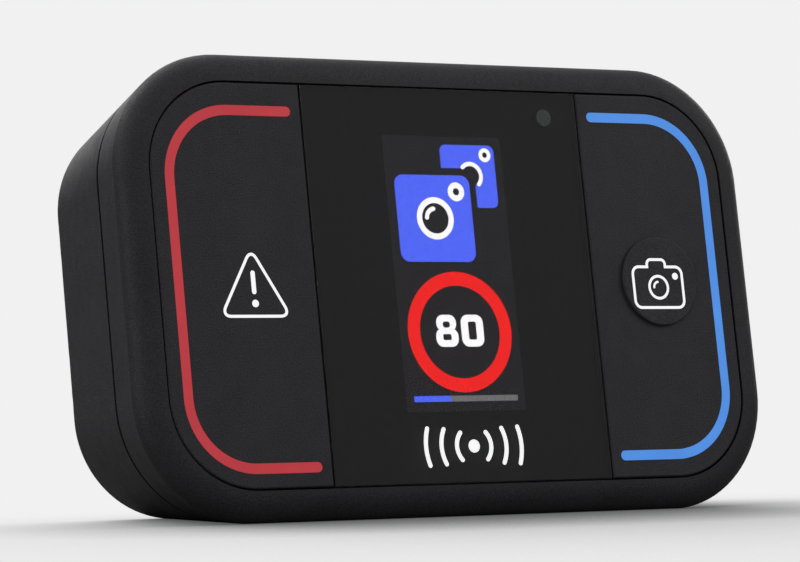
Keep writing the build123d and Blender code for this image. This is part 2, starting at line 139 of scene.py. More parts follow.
# %% [markdown]
# The studio has a pale backdrop with its own light, so the backdrop looks bright while it
# throws little light on the unit. A Light Path node tells the two uses apart: rays from the
# camera see the bright backdrop, and all other rays see a dim room that is brighter overhead.

# %% World
BACKDROP = (0.875, 0.88, 0.875, 1)
ROOM_TINT = (0.96, 0.96, 1.0, 1)
ROOM_LOW, ROOM_HIGH = 0.08, 0.5
world = bpy.data.worlds.new("studio")
bpy.context.scene.world = world
world.use_nodes = True
sky = world.node_tree
sky.nodes.clear()
seen = sky.nodes.new("ShaderNodeBackground")
seen.inputs["Color"].default_value = BACKDROP
cast = sky.nodes.new("ShaderNodeBackground")
cast.inputs["Color"].default_value = ROOM_TINT
heading = sky.nodes.new("ShaderNodeTexCoord")
split = sky.nodes.new("ShaderNodeSeparateXYZ")
ceiling = sky.nodes.new("ShaderNodeMapRange")
ceiling.inputs["To Min"].default_value = ROOM_LOW
ceiling.inputs["To Max"].default_value = ROOM_HIGH
sky.links.new(heading.outputs["Generated"], split.inputs["Vector"])
sky.links.new(split.outputs["Z"], ceiling.inputs["Value"])
sky.links.new(ceiling.outputs["Result"], cast.inputs["Strength"])
path = sky.nodes.new("ShaderNodeLightPath")
choose = sky.nodes.new("ShaderNodeMixShader")
end = sky.nodes.new("ShaderNodeOutputWorld")
sky.links.new(path.outputs["Is Camera Ray"], choose.inputs["Fac"])
sky.links.new(cast.outputs["Background"], choose.inputs[1])
sky.links.new(seen.outputs["Background"], choose.inputs[2])
sky.links.new(choose.outputs["Shader"], end.inputs["Surface"])
bpy.context.scene.view_settings.view_transform = "Standard"


# %% [markdown]
# The lamps are large and soft, because a black object shows little but what it mirrors. The
# key lamp stands high behind on the left and the back panel low behind, and together they
# light the side wall and its upper corner. The window mirrors the front panel, so that one is
# very dim. The others fill in the face and the bands round it.

# %% Lamps
def soft_lamp(name, place, size, power):
    """Square area lamp that looks at the unit; place and size in metres, power in watts."""
    lamp_data = bpy.data.lights.new(name, "AREA")
    lamp_data.size = size
    lamp_data.energy = power
    lamp = bpy.data.objects.new(name, lamp_data)
    bpy.context.scene.collection.objects.link(lamp)
    lamp.location = place
    lamp.visible_camera = False
    lamp.rotation_euler = (face_point - Vector(place)).to_track_quat("-Z", "Y").to_euler()
    return lamp


soft_lamp("key_lamp", (-0.4, 0.5, 0.8), 0.5, 2.4)
soft_lamp("front_panel", (0.55, -0.85, 0.3), 0.9, 0.36)
soft_lamp("back_panel", (0.25, 0.95, 0.38), 0.5, 1.1)
soft_lamp("right_lamp", (0.85, 0.5, 0.3), 0.4, 1.1)
soft_lamp("left_lamp", (-0.95, -0.35, 0.45), 0.5, 1.5)
soft_lamp("fill_lamp", (0.9, -0.5, 0.6), 0.4, 0.95)
soft_lamp("top_lamp", (0.1, 0.5, 0.9), 0.8, 2)

# %% [markdown]
# The floor has the backdrop's brightness, so no horizon shows between them. Two Ambient
# Occlusion nodes darken it softly where the unit shuts out the light. Their normal leans to
# the back, where the light comes from, so the shadow falls forward. The other rays see a
# plain floor, which throws a little light up on the case.

# %% Floor paint
SHADOW_REACH = 27 * MM
SHADE_REACH = 160 * MM
AO_SAMPLES = 16
LIGHT_FROM = (-0.03, 0.85, 0.53)
DEEPEST_SHADOW = (0.02, 0.02, 0.022, 1)
FLOOR_GREY = (0.22, 0.22, 0.22, 1)
floor_paint = bpy.data.materials.new("floor_paint")
floor_paint.use_nodes = True
paint = floor_paint.node_tree
paint.nodes.clear()
shade = paint.nodes.new("ShaderNodeAmbientOcclusion")
shade.samples = AO_SAMPLES
shade.inputs["Distance"].default_value = SHADOW_REACH
wide_shade = paint.nodes.new("ShaderNodeAmbientOcclusion")
wide_shade.samples = AO_SAMPLES
wide_shade.inputs["Distance"].default_value = SHADE_REACH
light_from = paint.nodes.new("ShaderNodeCombineXYZ")
for socket, value in zip(light_from.inputs, LIGHT_FROM):
    socket.default_value = value
deeper = paint.nodes.new("ShaderNodeMath")
deeper.operation = "MULTIPLY"
glow = paint.nodes.new("ShaderNodeEmission")
glow_colour = paint.nodes.new("ShaderNodeMix")
glow_colour.data_type = "RGBA"
glow_colour.inputs[6].default_value = DEEPEST_SHADOW
glow_colour.inputs[7].default_value = BACKDROP
matt = paint.nodes.new("ShaderNodeBsdfDiffuse")
matt.inputs["Color"].default_value = FLOOR_GREY
ray = paint.nodes.new("ShaderNodeLightPath")
either = paint.nodes.new("ShaderNodeMixShader")
top_coat = paint.nodes.new("ShaderNodeOutputMaterial")
paint.links.new(light_from.outputs["Vector"], shade.inputs["Normal"])
paint.links.new(light_from.outputs["Vector"], wide_shade.inputs["Normal"])
paint.links.new(shade.outputs["AO"], deeper.inputs[0])
paint.links.new(wide_shade.outputs["AO"], deeper.inputs[1])
paint.links.new(deeper.outputs["Value"], glow_colour.inputs[0])
paint.links.new(glow_colour.outputs[2], glow.inputs["Color"])
paint.links.new(ray.outputs["Is Camera Ray"], either.inputs["Fac"])
paint.links.new(matt.outputs["BSDF"], either.inputs[1])
paint.links.new(glow.outputs["Emission"], either.inputs[2])
paint.links.new(either.outputs["Shader"], top_coat.inputs["Surface"])

# %% [markdown]
# The floor itself is a plain disc, far larger than the unit. It belongs to the stage and not
# to the model.

# %% Floor
FLOOR_RADIUS = 3
clear_selection()
bpy.ops.mesh.primitive_circle_add(vertices=96, radius=FLOOR_RADIUS, fill_type="NGON", location=(0, 0, 0))
floor = bpy.context.object
floor.name = "floor"
floor.data.materials.append(floor_paint)

# %% [markdown]
# ## Finishes
# Materials are built from small helpers. Each one starts from a Principled shader, and colour,
# roughness and bump get their own procedural detail. Coordinates are turned upright first, so
# that a pattern can follow the case: X across, Y as depth behind the face, Z up.


# %% Material helpers
WAVE_SCALE = math.pi / 10       # a Wave texture of this scale has its ridges one unit apart
GRAIN_SIZE = 0.14 * MM
GRAIN_SHARE = 0.75


class Finish:
    """A material under construction."""

    def __init__(self, name, colour, rough):
        self.material = bpy.data.materials.new(name)
        self.material.use_nodes = True
        self.tree = self.material.node_tree
        self.shader = self.tree.nodes["Principled BSDF"]
        self.shader.inputs["Base Color"].default_value = (*colour, 1)
        self.shader.inputs["Roughness"].default_value = rough
        self.place = None

    def node(self, kind, **values):
        made = self.tree.nodes.new(kind)
        for key, value in values.items():
            setattr(made, key, value)
        return made

    def link(self, source, target):
        self.tree.links.new(source, self.shader.inputs[target] if isinstance(target, str) else target)

    def upright_place(self):
        """Position in metres from the middle of the face, with the face upright."""
        if self.place is None:
            coordinates = self.node("ShaderNodeTexCoord")
            turned = self.node("ShaderNodeMapping", vector_type="POINT")
            turned.inputs["Rotation"].default_value = (LEAN, 0, 0)
            turned.inputs["Location"].default_value = -face_middle
            self.link(coordinates.outputs["Object"], turned.inputs["Vector"])
            self.place = turned.outputs["Vector"]
        return self.place

    def noise(self, grain, detail=2.0, stretch=(1, 1, 1)):
        """Noise with features about one grain across, in metres."""
        scaled = self.node("ShaderNodeMapping", vector_type="POINT")
        scaled.inputs["Scale"].default_value = stretch
        self.link(self.upright_place(), scaled.inputs["Vector"])
        made = self.node("ShaderNodeTexNoise")
        made.inputs["Scale"].default_value = 1 / grain
        made.inputs["Detail"].default_value = detail
        self.link(scaled.outputs["Vector"], made.inputs["Vector"])
        return made.outputs["Fac"]

    def waves(self, pitch, direction):
        """Even ridges, one pitch apart in metres, across X, Y or Z."""
        made = self.node("ShaderNodeTexWave", bands_direction=direction)
        made.inputs["Scale"].default_value = WAVE_SCALE / pitch
        self.link(self.upright_place(), made.inputs["Vector"])
        return made.outputs["Fac"]

    def maths(self, operation, first, second=0):
        """Arithmetic on one or two values, each a socket or a number."""
        made = self.node("ShaderNodeMath", operation=operation)
        for socket, value in zip(made.inputs, (first, second)):
            if isinstance(value, (int, float)):
                socket.default_value = value
            else:
                self.link(value, socket)
        return made.outputs["Value"]

    def spread(self, value, low, high, from_low=0.3, from_high=0.7):
        """Map a value from one range to another."""
        ranged = self.node("ShaderNodeMapRange")
        ranged.inputs["From Min"].default_value = from_low
        ranged.inputs["From Max"].default_value = from_high
        ranged.inputs["To Min"].default_value = low
        ranged.inputs["To Max"].default_value = high
        self.link(value, ranged.inputs["Value"])
        return ranged.outputs["Result"]

    def tint(self, factor, first, second):
        """Colour between two colours."""
        mixed = self.node("ShaderNodeMix", data_type="RGBA")
        mixed.inputs[6].default_value = (*first, 1)
        mixed.inputs[7].default_value = (*second, 1)
        self.link(factor, mixed.inputs[0])
        return mixed.outputs[2]

    def bump(self, height, distance, strength=1.0):
        """Fine relief, with its real height in metres."""
        relief = self.node("ShaderNodeBump")
        relief.inputs["Strength"].default_value = strength
        relief.inputs["Distance"].default_value = distance
        self.link(height, relief.inputs["Height"])
        self.link(relief.outputs["Normal"], "Normal")

    def grain(self, cloud):
        """Slow clouds with the fine light and dark speckle of an eroded mould."""
        speckle = self.spread(self.noise(GRAIN_SIZE), 0, 1, 0.36, 0.64)
        fine = self.maths("MULTIPLY", speckle, GRAIN_SHARE)
        return self.maths("ADD", self.maths("MULTIPLY", cloud, 1 - GRAIN_SHARE), fine)

    def axis(self, letter):
        """One coordinate of the upright place."""
        split = self.node("ShaderNodeSeparateXYZ")
        self.link(self.upright_place(), split.inputs["Vector"])
        return split.outputs[letter]


def shade_of(colour, share):
    """The same colour, darker or lighter."""
    return [channel * share for channel in colour]


def dress(finish, *nodes):
    """Give CAD nodes a finish."""
    for name in nodes:
        slots = frame["nodes"][name].data.materials
        slots.clear()
        slots.append(finish.material)


# %% [markdown]
# The case is moulded in black plastic with a fine spark-eroded grain under a soft-touch coat.
# Grain a seventh of a millimetre across breaks up the highlights. The coat has worn a little
# thinner and shinier along the crease where the front band meets the side walls, because
# fingers grip it there. Along that crease the colour is also lightened, partly for the wear and
# partly as a painted highlight where the crease catches the light. The crease lies at one
# depth, so the band is a band of depth broken up by noise.

# %% Case finish
CREASE_DEPTH = 1.75 * MM
WEAR_WIDTH = 0.5 * MM
case = Finish("soft_touch_case", (0.02, 0.0195, 0.021), 0.5)
case_cloud = case.spread(case.noise(6 * MM, detail=3), 0, 1)
off_crease = case.maths("ABSOLUTE", case.maths("SUBTRACT", case.axis("Y"), CREASE_DEPTH))
crease_wear_and_highlight = case.spread(off_crease, 1, 0, 0, WEAR_WIDTH)
patches = case.spread(case.noise(1.8 * MM, detail=4), 0, 1, 0.45, 0.7)
wear_and_highlight = case.maths("MULTIPLY", crease_wear_and_highlight, patches)
# The lighter colour along the crease is partly wear and partly a painted highlight.
case_colour = case.node("ShaderNodeMix", data_type="RGBA")
case.link(wear_and_highlight, case_colour.inputs[0])
case_speckled = case.tint(case.grain(case_cloud), (0.012, 0.0112, 0.0128), (0.042, 0.0395, 0.044))
case.link(case_speckled, case_colour.inputs[6])
case_colour.inputs[7].default_value = (0.038, 0.037, 0.039, 1)
case.link(case_colour.outputs[2], "Base Color")
case_rough = case.spread(case.noise(1.5 * MM), 0.48, 0.58)
shine = case.maths("MULTIPLY", wear_and_highlight, 0.14)
case.link(case.maths("SUBTRACT", case_rough, shine), "Roughness")
case.bump(case.noise(0.16 * MM, detail=3), 0.05 * MM, 1.0)
dress(case, "front_frame", "rear_housing")

# %% [markdown]
# The buttons are the same plastic from another tool, a shade warmer, with a slightly finer
# grain. Thumbs polish the middle of each one, so its roughness drops softly around the
# pictograms.

# %% Button finish
POLISH_REACH = 9 * MM
BUTTON_MIDDLE = 22.5 * MM
plate = Finish("soft_touch_buttons", (0.022, 0.0205, 0.0235), 0.5)
plate_cloud = plate.spread(plate.noise(4 * MM, detail=3), 0, 1)
plate_speckled = plate.tint(plate.grain(plate_cloud), (0.017, 0.015, 0.0185), (0.052, 0.0465, 0.055))
plate.link(plate_speckled, "Base Color")
from_window = plate.maths("ABSOLUTE", plate.axis("X"))
from_middle = plate.maths("ABSOLUTE", plate.maths("SUBTRACT", from_window, BUTTON_MIDDLE))
polished = plate.spread(from_middle, 0.05, 0, 0, POLISH_REACH)
plate_rough = plate.spread(plate.noise(1.2 * MM), 0.5, 0.58)
plate.link(plate.maths("SUBTRACT", plate_rough, polished), "Roughness")
plate.bump(plate.noise(0.15 * MM, detail=3), 0.05 * MM, 1.0)
dress(plate, "left_button", "right_button")

# %% [markdown]
# The window is a lightly smoked acrylic sheet with a satin hard coat. It really is
# transparent: the picture lies behind it. What makes it look black is the black ink printed on
# its back, which comes further down.

# %% Window finish
smoke = Finish("smoked_window", (0.62, 0.62, 0.63), 0.2)
smoke.shader.inputs["Transmission Weight"].default_value = 1.0
smoke.shader.inputs["IOR"].default_value = 1.49
smoke.link(smoke.spread(smoke.noise(3 * MM), 0.14, 0.2), "Roughness")
smoke.bump(smoke.noise(0.2 * MM), 0.002 * MM, 0.3)
dress(smoke, "display_window")


# %% [markdown]
# The two light lines are milky tinted plastic with lamps behind it. The tint is in the base
# colour, and a soft emission stands for the light that leaks through. It is a little stronger
# right in front of each lamp, which the cloudy noise suggests.

# %% Light line finishes
def light_line(name, colour, glow):
    """Milky tinted plastic, lit from behind."""
    line = Finish(name, shade_of(colour, 0.5), 0.45)
    line.link(line.spread(line.noise(0.5 * MM), 0.38, 0.5), "Roughness")
    cloud = line.spread(line.noise(5 * MM), 0, 1)
    line.link(line.tint(cloud, shade_of(colour, 0.4), shade_of(colour, 0.55)), "Base Color")
    line.link(line.tint(cloud, shade_of(colour, 0.93), colour), "Emission Color")
    line.shader.inputs["Emission Strength"].default_value = glow
    line.bump(line.noise(0.2 * MM), 0.004 * MM, 0.4)
    return line


dress(light_line("line_red", (0.44, 0.034, 0.044), 0.92), "left_light_strip")
dress(light_line("line_blue", (0.07, 0.245, 0.69), 0.95), "right_light_strip")


# %% [markdown]
# ## The parts inside
# Most of the inner parts never show in the closed unit, but a spare part is looked at on its
# own. Three families cover them: moulded plastics and rubbers, metals, and films. Each family
# is one function, and the numbers tell the members apart.

# %% Moulded parts
def moulded(name, colour, rough, grain=0.15 * MM, relief=0.01 * MM):
    """Plastic or rubber with cloudy colour, uneven gloss and a fine skin."""
    made = Finish(name, colour, rough)
    cloud = made.spread(made.noise(3 * MM, detail=3), 0, 1)
    made.link(made.tint(cloud, shade_of(colour, 0.85), shade_of(colour, 1.12)), "Base Color")
    made.link(made.spread(made.noise(0.8 * MM), rough - 0.06, rough + 0.06), "Roughness")
    made.bump(made.noise(grain, detail=3), relief, 0.7)
    return made


dress(moulded("seal_rubber", (0.012, 0.012, 0.013), 0.7, 0.2 * MM), "housing_seal", "speaker_gasket")
dress(moulded("inner_plastic", (0.03, 0.03, 0.032), 0.5), "inner_carrier", "speaker_basket")
dress(moulded("switch_plastic", (0.02, 0.02, 0.022), 0.4), "left_switch_body", "right_switch_body")
dress(moulded("switch_key", (0.55, 0.54, 0.5), 0.4), "left_switch_plunger", "right_switch_plunger")
dress(moulded("connector_plastic", (0.62, 0.58, 0.48), 0.4), "flex_connector", "battery_connector")
dress(moulded("white_plastic", (0.75, 0.75, 0.72), 0.35), "backlight_unit")
dress(moulded("chip_black", (0.016, 0.016, 0.017), 0.55, 0.08 * MM),
      "radio_chip", "main_processor", "charger_chip")
dress(moulded("antenna_ceramic", (0.68, 0.66, 0.6), 0.6, 0.08 * MM), "chip_antenna")
dress(moulded("socket_tongue", (0.014, 0.014, 0.015), 0.4), "usb_socket_tongue")
dress(moulded("open_foam", (0.03, 0.03, 0.032), 0.9, 0.35 * MM, 0.12 * MM), "display_foam_pad")
dress(moulded("paper_cone", (0.05, 0.045, 0.04), 0.8, 0.25 * MM, 0.03 * MM), "speaker_cone")


# %% [markdown]
# Metals take the same treatment with one change: the noise is stretched, which draws the fine
# lines that rolling or drawing leaves. The roughness follows those lines. The mounting disc is
# faced on a lathe instead, so its lines are rings round the middle of the back.

# %% Metal parts
def metal(name, colour, rough, stretch=(1, 1, 12)):
    """Bare or plated metal with drawn lines and a little tarnish."""
    made = Finish(name, colour, rough)
    made.shader.inputs["Metallic"].default_value = 1.0
    tarnish = made.spread(made.noise(2 * MM, detail=4), 0, 1)
    made.link(made.tint(tarnish, shade_of(colour, 0.8), colour), "Base Color")
    lines = made.noise(0.6 * MM, detail=4, stretch=stretch)
    made.link(made.spread(lines, rough - 0.08, rough + 0.1), "Roughness")
    made.bump(lines, 0.003 * MM, 0.5)
    return made


dress(metal("screw_steel", (0.1, 0.1, 0.105), 0.42), "housing_screws", "board_screws")

RING_PITCH = 0.35 * MM
turned = metal("plated_disc", (0.5, 0.5, 0.51), 0.34)
turning = turned.node("ShaderNodeTexWave", wave_type="RINGS", rings_direction="Y")
turning.inputs["Scale"].default_value = WAVE_SCALE / RING_PITCH
turning.inputs["Distortion"].default_value = 1.5
turning.inputs["Detail"].default_value = 3
turned.link(turned.upright_place(), turning.inputs["Vector"])
turned.link(turned.spread(turning.outputs["Fac"], 0.26, 0.42, 0, 1), "Roughness")
turned.bump(turning.outputs["Fac"], 0.004 * MM, 0.6)
dress(turned, "steel_mount_disc")
dress(metal("tinned_shield", (0.62, 0.61, 0.58), 0.3), "radio_shield")
dress(metal("socket_steel", (0.45, 0.45, 0.46), 0.3, (12, 1, 1)), "usb_socket_shell")
dress(metal("magnet_nickel", (0.55, 0.54, 0.52), 0.25), "speaker_magnet")

# %% [markdown]
# The mesh in front of the sounder is woven from fine wire. Two sets of even ridges that cross,
# a third of a millimetre apart, give the weave its relief and its near-black gaps. The gaps are
# painted shade: they stand for the openings, where one looks into the dark inside.

# %% Sounder mesh
WIRE_PITCH = 0.33 * MM
woven = Finish("sounder_mesh", (0.05, 0.05, 0.052), 0.5)
warp_and_weft = woven.maths("MAXIMUM", woven.waves(WIRE_PITCH, "X"), woven.waves(WIRE_PITCH, "Z"))
# Near-black between the wires: painted shade in the openings of the weave.
woven.link(woven.tint(warp_and_weft, (0.004, 0.004, 0.004), (0.06, 0.06, 0.062)), "Base Color")
woven.link(woven.spread(woven.noise(0.5 * MM), 0.42, 0.55), "Roughness")
woven.bump(warp_and_weft, 0.05 * MM)
dress(woven, "speaker_mesh")

# %% [markdown]
# Films and foils: the black tape that holds the window, the clear tape under the cell, the
# amber circuit film of the display, and the crinkled foil of the cell's pouch.

# %% Films and foils
dress(moulded("black_tape", (0.015, 0.015, 0.015), 0.6), "window_adhesive")
dress(moulded("cell_tape", (0.5, 0.46, 0.32), 0.5), "battery_tape")

circuit_film = moulded("circuit_film", (0.42, 0.2, 0.05), 0.35)
strips = circuit_film.waves(0.5 * MM, "X")
circuit_film.link(circuit_film.tint(strips, (0.4, 0.18, 0.045), (0.52, 0.3, 0.1)), "Base Color")
dress(circuit_film, "display_flex")

foil = metal("cell_foil", (0.6, 0.6, 0.62), 0.38, (1, 1, 1))
foil.bump(foil.noise(4 * MM, detail=5), 0.12 * MM, 0.6)
dress(foil, "battery_pouch")

# %% [markdown]
# The circuit board is glass fibre under black-green lacquer. The copper runs under the
# lacquer show as slightly lighter lines, which the edges of Voronoi cells imitate.

# %% Circuit board
lacquer = Finish("board_lacquer", (0.01, 0.045, 0.025), 0.3)
cells = lacquer.node("ShaderNodeTexVoronoi", feature="DISTANCE_TO_EDGE", distance="MANHATTAN")
cells.inputs["Scale"].default_value = 1 / (1.6 * MM)
lacquer.link(lacquer.upright_place(), cells.inputs["Vector"])
runs = lacquer.spread(cells.outputs["Distance"], 1, 0, 0.04, 0.07)
lacquer.link(lacquer.tint(runs, (0.008, 0.04, 0.022), (0.02, 0.085, 0.045)), "Base Color")
lacquer.link(lacquer.spread(lacquer.noise(1 * MM), 0.25, 0.36), "Roughness")
lacquer.bump(runs, 0.02 * MM, 0.6)
dress(lacquer, "main_board")

# %% [markdown]
# The display panel is black glass when nothing lights it. The clear light pipe sends daylight
# to the sensor; from outside it is a small dull dot. The wires are a red and a black one side
# by side, told apart by where they lie across the unit.

# %% Glass, light pipe, lamps and wires
dress(moulded("panel_glass", (0.004, 0.004, 0.005), 0.12, 1 * MM, 0.001 * MM), "lcd_panel")
dress(moulded("light_pipe", (0.085, 0.095, 0.092), 0.3), "sensor_light_pipe")
dress(moulded("sensor_glass", (0.02, 0.02, 0.03), 0.15), "light_sensor")
dress(moulded("lamp_body", (0.8, 0.78, 0.6), 0.3), "left_lamps", "right_lamps")


def pair_of_wires(name, node):
    """Red insulation on one side of the pair's middle and black on the other."""
    low, high = upright_box(node)
    middle = (low.x + high.x) / 2 - face_middle.x
    made = moulded(name, (0.3, 0.01, 0.01), 0.4)
    on_right = made.maths("GREATER_THAN", made.axis("X"), middle)
    made.link(made.tint(on_right, (0.35, 0.012, 0.01), (0.012, 0.012, 0.012)), "Base Color")
    dress(made, node)


pair_of_wires("cell_wires", "battery_lead")
pair_of_wires("sounder_wires", "speaker_lead")

# %% [markdown]
# ## Drawing with flat shapes
# Pictograms are built from a few flat shapes. Each starts as a primitive on the board, is
# shaped in edit mode, and is extruded one unit up into a closed solid. Boolean modifiers then
# join or cut them, as one would with cut-out card.


# %% Flat shape helpers
ROUND = 72                      # points of a full circle
CORNER_STEPS = 10
ARC_STEPS = 24


def shape_up(make_outline, hollow=0.0):
    """Shape the active flat primitive in edit mode: outline, optional hollow, extrude."""
    bpy.ops.object.mode_set(mode="EDIT")
    bpy.ops.mesh.select_all(action="SELECT")
    make_outline()
    if hollow:
        bpy.ops.mesh.select_all(action="SELECT")
        bpy.ops.mesh.inset(thickness=hollow)
        bpy.ops.mesh.delete(type="FACE")
    bpy.ops.mesh.select_all(action="SELECT")
    bpy.ops.mesh.extrude_region_move(TRANSFORM_OT_translate={"value": (0, 0, 1)})
    bpy.ops.mesh.select_all(action="SELECT")
    bpy.ops.mesh.normals_make_consistent(inside=False)
    bpy.ops.object.mode_set(mode="OBJECT")
    return bpy.context.object


def disc(x, y, radius, hollow=0.0):
    """Round plate, or a ring when it is hollowed to a rim of this width."""
    clear_selection()
    bpy.ops.mesh.primitive_circle_add(vertices=ROUND, radius=radius, fill_type="NGON", location=(x, y, 0))
    return shape_up(lambda: None, hollow)


def panel_shape(left, right, low, high, corner, hollow=0.0):
    """Rectangle with round corners, or its outline when hollowed."""
    clear_selection()
    middle = ((left + right) / 2, (low + high) / 2, 0)
    bpy.ops.mesh.primitive_plane_add(size=1, location=middle)
    bpy.context.object.scale = (right - left, high - low, 1)
    bpy.ops.object.transform_apply(location=True, scale=True)

    def round_corners():
        if corner:
            bpy.ops.mesh.bevel(offset=corner, segments=CORNER_STEPS, affect="VERTICES")

    return shape_up(round_corners, hollow)


def arc_band(x, y, radius, width, first, last):
    """Band along an arc, from one angle to another in degrees, with round ends."""
    clear_selection()
    bpy.ops.mesh.primitive_plane_add(size=width, location=(radius, 0, 0))
    band = bpy.context.object
    bpy.ops.object.transform_apply(location=True)
    bpy.ops.object.mode_set(mode="EDIT")
    bpy.ops.mesh.select_mode(type="VERT")
    bpy.ops.mesh.select_all(action="DESELECT")
    bpy.ops.object.mode_set(mode="OBJECT")
    for vertex in band.data.vertices:
        vertex.select = vertex.co.y > 0
    bpy.ops.object.mode_set(mode="EDIT")
    bpy.ops.mesh.delete(type="VERT")
    bpy.ops.mesh.select_all(action="SELECT")
    bpy.ops.transform.translate(value=(0, width / 2, 0))
    bpy.ops.transform.rotate(value=-math.radians(first), orient_axis="Z", center_override=(0, 0, 0))
    bpy.ops.mesh.spin(steps=ARC_STEPS, angle=-math.radians(last - first), center=(0, 0, 0), axis=(0, 0, 1))
    bpy.ops.object.mode_set(mode="OBJECT")
    band = shape_up(lambda: None)
    band.data.transform(Matrix.Translation((x, y, 0)))
    ends = []
    for angle in (math.radians(first), math.radians(last)):
        ends.append(disc(x + radius * math.cos(angle), y + radius * math.sin(angle), width / 2))
    return join_shapes([band, *ends])


def combine(piece, other, operation):
    """Boolean with another shape, applied at once, and the other shape removed."""
    pick(piece)
    step = piece.modifiers.new("cut_or_join", "BOOLEAN")
    step.operation = operation
    step.solver = "EXACT"
    step.object = other
    bpy.ops.object.modifier_apply(modifier=step.name)
    bpy.data.objects.remove(other)
    return piece


def cut_through(piece, cutter):
    """Cut a shape right through another: the cutter is made taller first."""
    pick(cutter)
    cutter.scale.z = 3
    cutter.location.z = -1
    bpy.ops.object.transform_apply(location=True, scale=True)
    return combine(piece, cutter, "DIFFERENCE")


def join_shapes(shapes):
    """Union of shapes that overlap."""
    whole = shapes[0]
    for other in shapes[1:]:
        combine(whole, other, "UNION")
    return whole


def group_shapes(shapes):
    """One piece of several shapes that lie apart."""
    clear_selection()
    for shape in shapes:
        shape.select_set(True)
    bpy.context.view_layer.objects.active = shapes[0]
    bpy.ops.object.join()
    return bpy.context.object


def settle(name, piece, finish, body, depth, thickness):
    """Name a drawing, lay it on the face, and fix it to its body."""
    piece.name = name
    piece.data.name = name
    lay_on_face(piece, depth, thickness)
    piece.data.materials.clear()
    piece.data.materials.append(finish.material)
    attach(piece, body)
    print(name, len(piece.data.polygons), "faces")
    return piece


# %% [markdown]
# ## Printed pictograms
# The white prints are screen-printed ink, about two hundredths of a millimetre thick. Ink is
# a little uneven: it lets some of the black through, and its skin follows the grain below.
# The ink is also given a faint glow of its own, which is painted light.

# %% White ink
INK = 0.02 * MM
INK_GRIP = 0.01 * MM
ink = Finish("white_ink_painted_glow", (0.86, 0.86, 0.86), 0.5)
ink_cloud = ink.spread(ink.noise(0.3 * MM, detail=4), 0, 1)
ink.link(ink.tint(ink_cloud, (0.78, 0.78, 0.78), (0.9, 0.9, 0.9)), "Base Color")
ink.link(ink.spread(ink.noise(0.5 * MM), 0.42, 0.56), "Roughness")
# Faint white glow of the ink: painted light, since printed ink gives no light of its own.
ink.shader.inputs["Emission Color"].default_value = (1, 1, 1, 1)
ink.shader.inputs["Emission Strength"].default_value = 0.7
ink.bump(ink.noise(0.12 * MM, detail=2), 0.01 * MM, 0.6)

# %% [markdown]
# The left button reports a hazard: a warning triangle with an exclamation mark. A circle of
# three points is a triangle with one corner up, and bevelling its points rounds the corners.

# %% Hazard pictogram
STROKE = 0.27
HAZARD_X = -22.14
TRIANGLE_RADIUS, TRIANGLE_Y, TRIANGLE_CORNER = 4.44, -0.92, 1.25
MARK_WIDTH, MARK_LOW, MARK_HIGH = 0.45, -0.96, 1.23
DOT_Y, DOT_RADIUS = -1.82, 0.345
clear_selection()
bpy.ops.mesh.primitive_circle_add(vertices=3, radius=TRIANGLE_RADIUS, fill_type="NGON",
                                  location=(HAZARD_X, TRIANGLE_Y, 0))
bpy.ops.object.transform_apply(location=True)


def round_points():
    bpy.ops.mesh.bevel(offset=TRIANGLE_CORNER, segments=CORNER_STEPS, affect="VERTICES")


triangle = shape_up(round_points, hollow=STROKE)
mark_bar = panel_shape(HAZARD_X - MARK_WIDTH / 2, HAZARD_X + MARK_WIDTH / 2, MARK_LOW, MARK_HIGH, 0.22)
mark_dot = disc(HAZARD_X + 0.03, DOT_Y, DOT_RADIUS)
hazard = group_shapes([triangle, mark_bar, mark_dot])
settle("hazard_pictogram", hazard, ink, "left_button_group", INK_GRIP, INK + INK_GRIP)

# %% [markdown]
# The right button carries a raised disc with a camera on it: a body with a low prism on top, a
# lens ring with a glint, and a small dot. The outline is the outer shape less the same shape
# drawn one stroke smaller.

# %% Camera pictogram
BODY_LEFT, BODY_RIGHT, BODY_LOW, BODY_HIGH = 19.80, 25.87, -2.47, 1.82
PRISM_LEFT, PRISM_RIGHT, PRISM_LOW, PRISM_HIGH = 21.57, 23.98, -0.97, 2.54
BODY_CORNER, PRISM_CORNER = 0.855, 0.6


def camera_shape(inset):
    """Camera body with its prism, drawn smaller by the inset."""
    shell = panel_shape(BODY_LEFT + inset, BODY_RIGHT - inset, BODY_LOW + inset, BODY_HIGH - inset,
                        BODY_CORNER - inset)
    prism = panel_shape(PRISM_LEFT + inset, PRISM_RIGHT - inset, PRISM_LOW, PRISM_HIGH - inset,
                        PRISM_CORNER - inset)
    return join_shapes([shell, prism])


inner_shape = camera_shape(STROKE)
outline_shape = cut_through(camera_shape(0), inner_shape)
LENS_X, LENS_Y, LENS_RADIUS, LENS_RIM = 22.85, -0.33, 1.22, 0.26
GLINT_RADIUS, GLINT_STROKE = 0.53, 0.22
FLASH_X, FLASH_Y, FLASH_RADIUS = 24.92, 0.76, 0.34
lens_ring = disc(LENS_X, LENS_Y, LENS_RADIUS, hollow=LENS_RIM)
glint = arc_band(LENS_X, LENS_Y, GLINT_RADIUS, GLINT_STROKE, 98, 180)
flash_dot = disc(FLASH_X, FLASH_Y, FLASH_RADIUS)
camera_mark = group_shapes([outline_shape, lens_ring, glint, flash_dot])

DISC_RISE = 0.35 * MM
settle("camera_pictogram", camera_mark, ink, "right_button_group",
       INK_GRIP - DISC_RISE, INK + INK_GRIP)

# %% [markdown]
# Below the display the window carries a small white mark. Ours is a plain broadcast sign, a
# dot with waves going out on both sides, which any maker might use.

